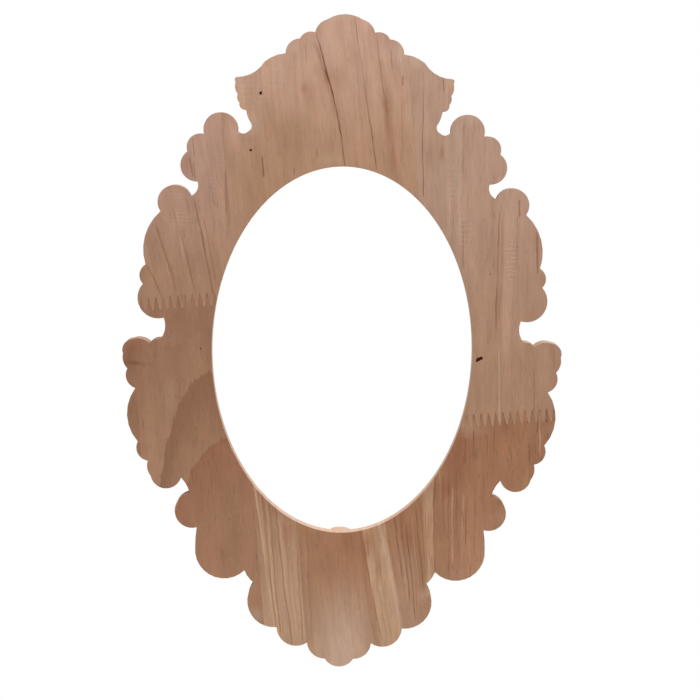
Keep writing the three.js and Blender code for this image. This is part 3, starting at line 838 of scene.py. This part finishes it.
def has_room(edge, corners, rounding):
    """True for an edge that no corner of a glued wall, bar its own ends, comes as near as its rounding."""
    start, end = (np.array(v.co) for v in edge.verts)
    run = end - start
    share = np.clip((corners - start) @ run / (run @ run), 0, 1)
    gap = np.linalg.norm(start + share[:, None] * run - corners, axis=1)
    touching, needed = 0.01 * rounding, 1.1 * rounding
    return not ((gap > touching) & (gap < needed)).any()


def stave_mesh(node, rounding):
    """A stave with its sawn edges rounded by sanding and its glued edges left crisp. A sawn edge that
    a finger of the joint leaves too thin to be rounded stays crisp as well."""
    shape = merged_copy(node)
    others = surface_tree([n for n in STAVES if n != node])
    glued = {f for f in shape.faces if is_glued(f, others)}
    corners = np.array([v.co for v in {v for f in glued for v in f.verts}])
    sanded = [
        e for e in shape.edges
        if len(e.link_faces) == 2 and e.is_convex and not glued.intersection(e.link_faces)
        and is_wall(e.link_faces[0]) != is_wall(e.link_faces[1]) and has_room(e, corners, rounding)]
    return rounded_mesh(node, shape, sanded, rounding)


def panel_point(across, along, depth):
    """Row-frame points, in metres, of leaning stave coordinates and depths in millimetres."""
    x = across * math.cos(STAVE_LEAN) - along * math.sin(STAVE_LEAN)
    z = across * math.sin(STAVE_LEAN) + along * math.cos(STAVE_LEAN)
    return np.stack(np.broadcast_arrays(x * MM, depth * MM, z * MM + OPENING_CENTRE.z), -1)


def flat_faces(depth):
    """The staves' triangles that lie flat at a depth in metres, as (faces, 3, 2) x and z corners."""
    flats = []
    for node in STAVES:
        mesh = frame["nodes"][node].data
        mesh.calc_loop_triangles()
        spots = np.empty(3 * len(mesh.vertices), np.float32)
        mesh.vertices.foreach_get("co", spots)
        corners = np.empty(3 * len(mesh.loop_triangles), np.int32)
        mesh.loop_triangles.foreach_get("vertices", corners)
        faces = spots.reshape(-1, 3)[corners].reshape(-1, 3, 3)
        flats.append(faces[np.abs(faces[:, :, 1] - depth).max(axis=1) < FLAT_DEPTH])
    return np.concatenate(flats)[:, :, [0, 2]]


def on_wood(across_along, faces):
    """Which (across, along) points lie on one of the flat faces: three turns of one sign."""
    spots = panel_point(across_along[:, 0], across_along[:, 1], 0.0)[:, [0, 2]]
    near = (faces.max(axis=1) > spots.min(axis=0)) & (faces.min(axis=1) < spots.max(axis=0))
    arms = faces[None, near.all(axis=1)] - spots[:, None, None]
    ahead = np.roll(arms, -1, axis=2)
    turns = arms[..., 0] * ahead[..., 1] - arms[..., 1] * ahead[..., 0]
    return ((turns > 0).all(axis=2) | (turns < 0).all(axis=2)).any(axis=1)


def glue_film(name, low, high, front_faces, back_faces, recess):
    """Film of glue between two edges of (across, along) points, wherever both have wood beside them:
    a rectangular section carried along the joint, as deep as the board or, in the rebate, its lip."""
    run = np.append(0, np.cumsum(np.linalg.norm(np.diff(low, axis=0), axis=1)))
    steps = np.union1d(np.arange(0, run[-1], FILM_STEP), run)
    low, high = (np.stack([np.interp(steps, run, edge[:, i]) for i in (0, 1)], -1) for edge in (low, high))
    gap = high - low
    beside = (low - gap / 2, high + gap / 2)
    on_front, on_back = (on_wood(beside[0], f) & on_wood(beside[1], f) for f in (front_faces, back_faces))
    rows = np.flatnonzero(on_front)
    rows = np.arange(rows[0], rows[-1] + 1)
    change = on_back[rows][1:] != on_back[rows][:-1]
    rows = rows[np.isin(steps[rows], run) | np.append(change, True) | np.append(True, change)]
    front = CAD_BOX[0][1] / MM + recess
    back = np.where(on_back[rows], 0.0, REBATE_SEAT) - recess
    inner, outer = (low + FILM_INSET * gap)[rows], (high - FILM_INSET * gap)[rows]
    corners = [(inner, front), (outer, front), (outer, back), (inner, back)]
    grid = np.stack([panel_point(edge[:, 0], edge[:, 1], depth) for edge, depth in corners], 1)
    return grid_mesh(name, grid, True)


def finger_edges(height, start, end):
    """The two interlocking zigzags of a finger joint from start to end across the stave, as (across,
    along) points: corners at the root and tip of every finger, and the two ends between corners."""
    tip = (FINGER_TIP - GLUE_GAP) / 2
    root = (FINGER_PITCH - FINGER_TIP - GLUE_GAP) / 2
    top = FINGER_LENGTH / 2
    first = math.floor((start - FINGER_SHIFT) / FINGER_PITCH)
    last = math.ceil((end - FINGER_SHIFT) / FINGER_PITCH)
    middles = FINGER_SHIFT + FINGER_PITCH * np.arange(first, last + 1)[:, None]
    corners = (middles + np.array([-root, -tip, tip, root])).ravel()
    levels = np.tile(height + np.array([-top, top - GLUE_GAP, top - GLUE_GAP, -top]), len(middles))
    inside = corners[(corners > start) & (corners < end)]
    across = np.concatenate([[start], inside, [end]])
    low = np.stack([across, np.interp(across, corners, levels)], -1)
    from_middle = (low[:, 0] - FINGER_SHIFT + FINGER_PITCH / 2) % FINGER_PITCH - FINGER_PITCH / 2
    step = GLUE_GAP * np.sign(from_middle)
    high = low + np.stack([step, np.full(len(low), GLUE_GAP)], -1)
    return low, high


def teardrop_radius(angle):
    """Distance from the pivot to the rim of a round plate drawn out into a round nose along angle 0:
    nose circle, straight flank or pivot circle, whichever the angle meets."""
    far = BUTTON_REACH - BUTTON_NOSE
    flank = math.acos((BUTTON_ROUND - BUTTON_NOSE) / far)
    turn = math.atan2(BUTTON_NOSE * math.sin(flank), far + BUTTON_NOSE * math.cos(flank))
    a = np.abs(angle)
    round_nose = far * np.cos(a) + np.sqrt(np.maximum(BUTTON_NOSE ** 2 - (far * np.sin(a)) ** 2, 0))
    straight = BUTTON_ROUND / np.cos(np.minimum(np.abs(a - flank), 1.5))
    return np.where(a < turn, round_nose, np.where(a < flank, straight, BUTTON_ROUND))


def button_mesh(name, place, seat):
    """Stamped turn button: a closed strip section swept round its screw hole. Each corner of it lies
    a share of the way from hole to rim, plus an inset, at a height; the nose is bent up."""
    angle = np.linspace(-math.pi, math.pi, BUTTON_FACETS, endpoint=False)
    share, inset, level = BUTTON_SECTION.T[:, :, None]
    radius = BUTTON_HOLE + (teardrop_radius(angle) - BUTTON_HOLE) * share + inset
    along, across = radius * np.cos(angle), radius * np.sin(angle)
    bend = np.clip((along - BEND_START) / (BUTTON_REACH - BEND_START), 0, 1) * BEND_LIFT
    nx, nz = BUTTON_NOSES[place]
    pivot = BUTTON_PIVOTS[place]
    x = pivot.x + (along * nx - across * nz) * MM
    z = pivot.z + (along * nz + across * nx) * MM
    return grid_mesh(name, np.stack([x, seat + (level + bend) * MM, z], -1), False)


def screw_mesh(node, thread_depth, shank, head_height, point):
    """Pan-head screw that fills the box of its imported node, on one grid: a profile from the middle of
    the head over its rim and down the shank to the point, turned round Y. The head is sunk by a cross
    recess, and the shank's radius swings with its height and angle as a thread does."""
    low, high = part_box(node)
    centre = (low + high) / 2
    head = (high.x - low.x) / 2 / MM
    under = high.y - head_height * MM
    length = (under - low.y) / MM
    turn = full_turn(SCREW_FACETS)
    dome = np.linspace(0, math.pi / 2, HEAD_ROWS)
    head_r = head * np.sin(dome)
    head_y = head_height / 2 * (1 + np.cos(dome))
    rim_r = head - np.array([0.0, 0.06, 0.2]) * head_height / 2
    rim_y = np.array([0.12, 0.03, 0.0]) * head_height
    shank_y = np.linspace(0, -length, SHANK_ROWS)
    core = shank * np.clip((shank_y + length) / point, 0.02, 1)
    r = np.concatenate([head_r, rim_r, core])[:, None]
    y = np.concatenate([head_y, rim_y, shank_y])[:, None]
    wave = np.abs(((y / (THREAD_PITCH * shank) + turn / (2 * math.pi)) % 1) * 2 - 1)
    on_shank = (y < -0.05 * length) & (r <= shank)
    r = np.where(on_shank, r - thread_depth / MM * (1 - wave) * np.clip(r / shank, 0, 1), r) + 0 * turn
    x = r * np.cos(turn)
    z = r * np.sin(turn)
    cross = np.maximum(recess_arms(x / head, z / head), recess_arms(z / head, x / head))
    on_head = (y > 0.5 * head_height) & (r < 0.9 * head)
    y = np.where(on_head, y - RECESS_DEPTH * head_height * cross, y)
    grid = np.stack([centre.x + x * MM, under + (y + 0 * turn) * MM, centre.z + z * MM], -1)
    return grid_mesh(node, grid, True)


def recess_arms(along, across):
    """Depth, 0 to 1, of one arm pair of a cross recess: deep in the middle, shallow at its ends."""
    ends = np.clip((RECESS_REACH - np.abs(along)) / (0.6 * RECESS_REACH), 0, 1)
    sides = np.clip((1.5 * RECESS_HALF - np.abs(across)) / RECESS_HALF, 0, 1)
    return ends * sides


class FRAME_OT_staves(bpy.types.Operator):
    """Makes the eight staves of the glued panel, each with its own wood"""
    bl_idname = "photo_frame.staves"
    bl_label = "Wooden staves"

    def execute(self, context):
        sizes, colours = context.scene.frame_sizes, context.scene.frame_colours
        groups = {"streak": streak_group(), "spot": spot_group(), "arch": arch_group()}
        for seed, (stave, plan) in enumerate(STAVES.items()):
            material = wood_material(stave, plan, colours, groups, seed)
            mesh = stave_mesh(stave, sizes.edge_rounding)
            new_piece(f"{stave}_board", mesh, material, "frame", stave, 30)
        return {"FINISHED"}


class FRAME_OT_glue_lines(bpy.types.Operator):
    """Fills the glue lines and finger joints between the staves with dried glue"""
    bl_idname = "photo_frame.glue_lines"
    bl_label = "Glue lines"

    def execute(self, context):
        recess = context.scene.frame_sizes.glue_recess / MM
        material = glue_material(context.scene.frame_colours.glue)
        front_faces, back_faces = flat_faces(CAD_BOX[0][1]), flat_faces(0.0)
        half_gap, far = GLUE_GAP / 2, (CAD_BOX[1][2] - CAD_BOX[0][2]) / MM
        films = {f"fingers_{side}": finger_edges(*joint) for side, joint in FINGER_JOINTS.items()}
        for line, across in GLUE_LINES.items():
            for end, way in (("top", 1), ("bottom", -1)):
                middle = np.array([(across, 0.0), (across, way * far)])
                films[f"line_{line}_{end}"] = (middle - (half_gap, 0), middle + (half_gap, 0))
        for name, (low, high) in films.items():
            mesh = glue_film(f"glue_{name}", low, high, front_faces, back_faces, recess)
            new_piece(f"glue_{name}", mesh, material, "frame", None)
        return {"FINISHED"}


class FRAME_OT_turn_buttons(bpy.types.Operator):
    """Makes the four brass turn buttons that hold a picture in the rebate, and their screws"""
    bl_idname = "photo_frame.turn_buttons"
    bl_label = "Turn buttons"

    def execute(self, context):
        colours, sizes = context.scene.frame_colours, context.scene.frame_sizes
        brass = metal_material("plated_brass", colours.brass, 0.22)
        for place in BUTTON_PIVOTS:
            node = f"turn_button_{place}"
            mesh = button_mesh(node, place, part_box(node)[0].y)
            new_piece(f"{node}_plate", mesh, brass, f"button_{place}", node)
            screw = f"button_screw_{place}"
            mesh = screw_mesh(screw, sizes.thread_depth, **BUTTON_SCREW)
            new_piece(f"{screw}_pan_head", mesh, brass, "frame", screw)
        return {"FINISHED"}


class FRAME_OT_hanger(bpy.types.Operator):
    """Makes the zinc sawtooth hanger and its two screws"""
    bl_idname = "photo_frame.hanger"
    bl_label = "Sawtooth hanger"

    def execute(self, context):
        colours, sizes = context.scene.frame_colours, context.scene.frame_sizes
        zinc = metal_material("plated_zinc", colours.zinc, 0.30)
        shape = merged_copy("sawtooth_hanger")
        creases = [e for e in shape.edges if e.calc_face_angle(0) > math.radians(40) and e.is_convex]
        mesh = rounded_mesh("sawtooth_hanger", shape, creases, sizes.metal_rounding)
        new_piece("sawtooth_hanger_strip", mesh, zinc, "frame", "sawtooth_hanger", 30)
        for side in ("left", "right"):
            screw = f"hanger_screw_{side}"
            mesh = screw_mesh(screw, HANGER_THREAD * sizes.thread_depth, **HANGER_SCREW)
            new_piece(f"{screw}_pan_head", mesh, zinc, "frame", screw)
        return {"FINISHED"}


class FRAME_OT_stage(bpy.types.Operator):
    """Sets the floor, soft light, white surroundings and the camera"""
    bl_idname = "photo_frame.stage"
    bl_label = "Floor, light and camera"

    def execute(self, context):
        scene = context.scene
        scene.view_settings.view_transform = "Standard"
        self.make_floor(scene)
        self.make_world(scene)
        self.make_lamps(scene)
        self.make_camera(scene)
        return {"FINISHED"}

    def make_floor(self, scene):
        """A round pale floor, as a disc of rings around z with its rim turned down, that melts into
        the white surroundings towards its rim."""
        sizes = scene.frame_sizes
        turn = full_turn(FLOOR_FACETS)
        share = np.append(np.linspace(0.02, 1, FLOOR_RINGS), 1.0)[:, None]
        radius = sizes.floor_radius * share
        level = CAD_BOX[0][2] - sizes.floor_drop - np.append(np.zeros(FLOOR_RINGS), FLOOR_RIM)[:, None]
        grid = np.stack([radius * np.cos(turn), radius * np.sin(turn), level + 0 * turn], -1)
        mesh = grid_mesh("floor", grid, True)
        material, shader, place = new_material("floor_paper")
        tree = place.tree
        fleck = place.noise((60.0, 60.0, 60.0)).ease(0.2, 0.8, 0.98, 1.0)
        coat(shader, toned(linear(scene.frame_colours.floor)[:3], fleck), 0.9)
        reach = (place * (1.0, 1.0, 0.0)).length()
        seen = Field(tree, add(tree, "ShaderNodeLightPath").outputs["Is Camera Ray"])
        rim = reach.ease(0.3 * sizes.floor_radius, 0.95 * sizes.floor_radius) * seen
        white = Field(tree, add(tree, "ShaderNodeEmission", (1, 1, 1, 1), 1.0).outputs[0])
        paper = Field(tree, shader.outputs[0])
        both = add(tree, "ShaderNodeMixShader", rim, paper, white).outputs[0]
        tree.links.new(both, tree.nodes["Material Output"].inputs["Surface"])
        mesh.materials.append(material)
        floor = bpy.data.objects.new("floor", mesh)
        scene.collection.objects.link(floor)

    def make_world(self, scene):
        """White to the camera and in reflections, a soft even light on everything else."""
        world = bpy.data.worlds.new("white_surroundings")
        world.use_nodes = True
        tree = world.node_tree
        path = add(tree, "ShaderNodeLightPath").outputs
        camera, glossy, through = (
            Field(tree, path[f"Is {ray} Ray"]) for ray in ("Camera", "Glossy", "Transmission"))
        shown = camera.reckon("MAXIMUM", camera.reckon("MAXIMUM", camera, glossy), through)
        soft = tree.nodes["Background"]
        soft.inputs["Color"].default_value = (1, 1, 1, 1)
        feed(tree, shown.ease(0.0, 1.0, SURROUND_LIGHT, 1.0), soft.inputs["Strength"])
        scene.world = world

    def make_lamps(self, scene):
        """A broad lamp above the front, a weak one on the other side and one for the back."""
        for name, (place, watts) in SOFTBOXES.items():
            lamp = bpy.data.lights.new(name, "AREA")
            lamp.shape = "DISK"
            lamp.size = SOFTBOX_SIZE
            lamp.energy = watts
            softbox = bpy.data.objects.new(name, lamp)
            scene.collection.objects.link(softbox)
            turned = (OPENING_CENTRE - Vector(place)).to_track_quat("-Z", "Y")
            softbox.matrix_world = Matrix.Translation(place) @ turned.to_matrix().to_4x4()

    def make_camera(self, scene):
        """A long lens level with the crown, looking slightly down at the front of the frame."""
        elevation, roll, distance = math.radians(6), math.radians(0.6), 1.5
        image_width, sensor, metres_per_pixel = 700, 36.0, 0.682 * MM
        aim_right, aim_up = 5.5 * MM, 0.9 * MM
        aim = Vector((aim_right, CAD_BOX[0][1], OPENING_CENTRE.z + aim_up))
        back = Vector((0, -math.cos(elevation), math.sin(elevation)))
        lens = bpy.data.cameras.new("front_camera")
        lens.sensor_width = sensor
        lens.lens = sensor * distance / metres_per_pixel / image_width
        camera = bpy.data.objects.new("front_camera", lens)
        scene.collection.objects.link(camera)
        tilt = Matrix.Rotation(math.radians(90) - elevation, 4, "X") @ Matrix.Rotation(roll, 4, "Z")
        camera.matrix_world = Matrix.Translation(aim + distance * back) @ tilt
        scene.camera = camera


class FRAME_PT_panel(bpy.types.Panel):
    """Lists the steps and the sizes and colours of the frame"""
    bl_idname = "FRAME_PT_panel"
    bl_label = "Photo frame"
    bl_space_type = "VIEW_3D"
    bl_region_type = "UI"
    bl_category = "Photo frame"

    def draw(self, context):
        for step in STEPS:
            self.layout.operator(step.bl_idname)
        for group in (context.scene.frame_sizes, context.scene.frame_colours):
            column = self.layout.column()
            for key in group.bl_rna.properties.keys():
                if key not in ("rna_type", "name"):
                    column.prop(group, key)


STEPS = (FRAME_OT_stage, FRAME_OT_staves, FRAME_OT_glue_lines, FRAME_OT_turn_buttons, FRAME_OT_hanger)
CLASSES = (FrameSizes, FrameColours, *STEPS, FRAME_PT_panel)


def register():
    """Makes the settings, steps and panel known to Blender."""
    for cls in CLASSES:
        bpy.utils.register_class(cls)
    bpy.types.Scene.frame_sizes = bpy.props.PointerProperty(type=FrameSizes)
    bpy.types.Scene.frame_colours = bpy.props.PointerProperty(type=FrameColours)


def unregister():
    """Takes out what register put in."""
    del bpy.types.Scene.frame_colours
    del bpy.types.Scene.frame_sizes
    for cls in reversed(CLASSES):
        bpy.utils.unregister_class(cls)


def main():
    """Runs every step in order."""
    register()
    bpy.ops.photo_frame.stage()
    bpy.ops.photo_frame.staves()
    bpy.ops.photo_frame.glue_lines()
    bpy.ops.photo_frame.turn_buttons()
    bpy.ops.photo_frame.hanger()


if __name__ == "__main__":
    main()
